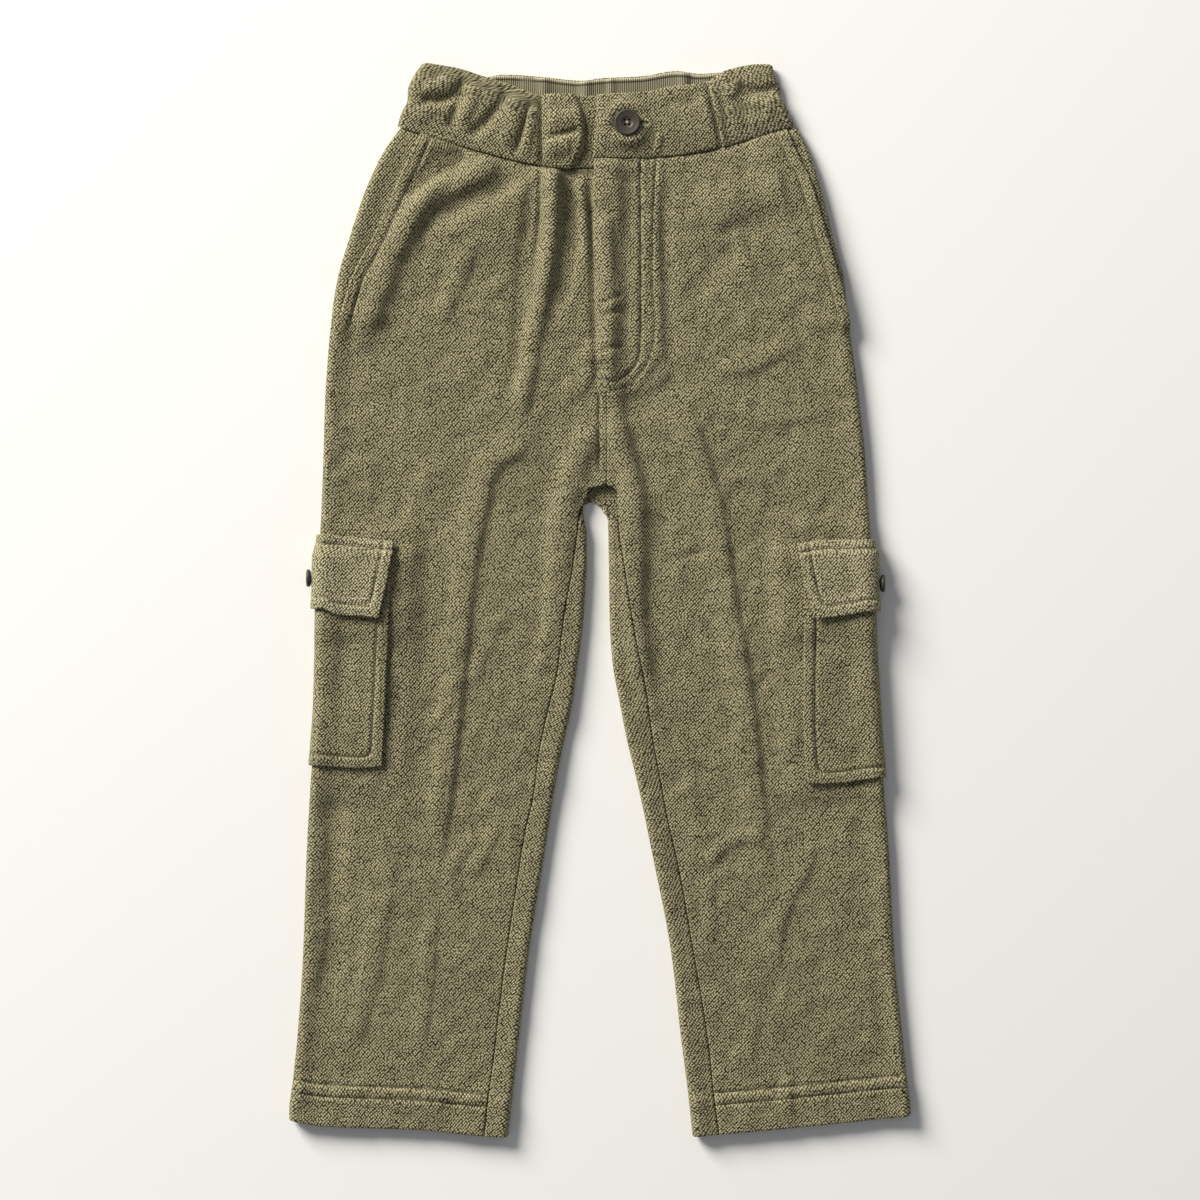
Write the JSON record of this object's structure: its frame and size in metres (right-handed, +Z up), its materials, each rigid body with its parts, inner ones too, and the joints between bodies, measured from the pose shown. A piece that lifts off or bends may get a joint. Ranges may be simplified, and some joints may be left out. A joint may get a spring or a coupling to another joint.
{
  "type": "cargo trousers",
  "caption": "Child's cargo trousers in olive towelling, laid flat on their back, with a gathered waistband, slant hip pockets and buttoned cargo pockets at the sides.",
  "frame": {"origin": "on the surface that the trousers lie on, under the middle of their outline", "axes": "+X to the right as seen from above with the waist away from the viewer, +Y from the hems to the waist, +Z up from the surface"},
  "size_m": [0.3559, 0.6146, 0.0146],
  "materials": {
    "towelling": "knitted cotton towelling with fine upright loops, olive",
    "rib_knit": "fine vertical rib knit, the paler inside of the waistband",
    "button": "moulded four-hole button, dark olive with a soft sheen"
  },
  "bodies": {
    "root": {"front_panel_left": "towelling", "front_panel_right": "towelling", "back_panel_left": "towelling", "back_panel_right": "towelling", "hip_panel_left": "towelling", "hip_panel_right": "towelling", "cargo_pocket_left": "towelling", "cargo_pocket_right": "towelling", "cargo_flap_left": "towelling", "cargo_flap_right": "towelling", "waistband_elastic": "towelling", "waistband_front_left": "towelling", "waistband_front_right": "towelling", "waistband_back_facing": "rib_knit", "front_button": "button", "flap_button_left": "button", "flap_button_right": "button"}
  },
  "joints": []
}
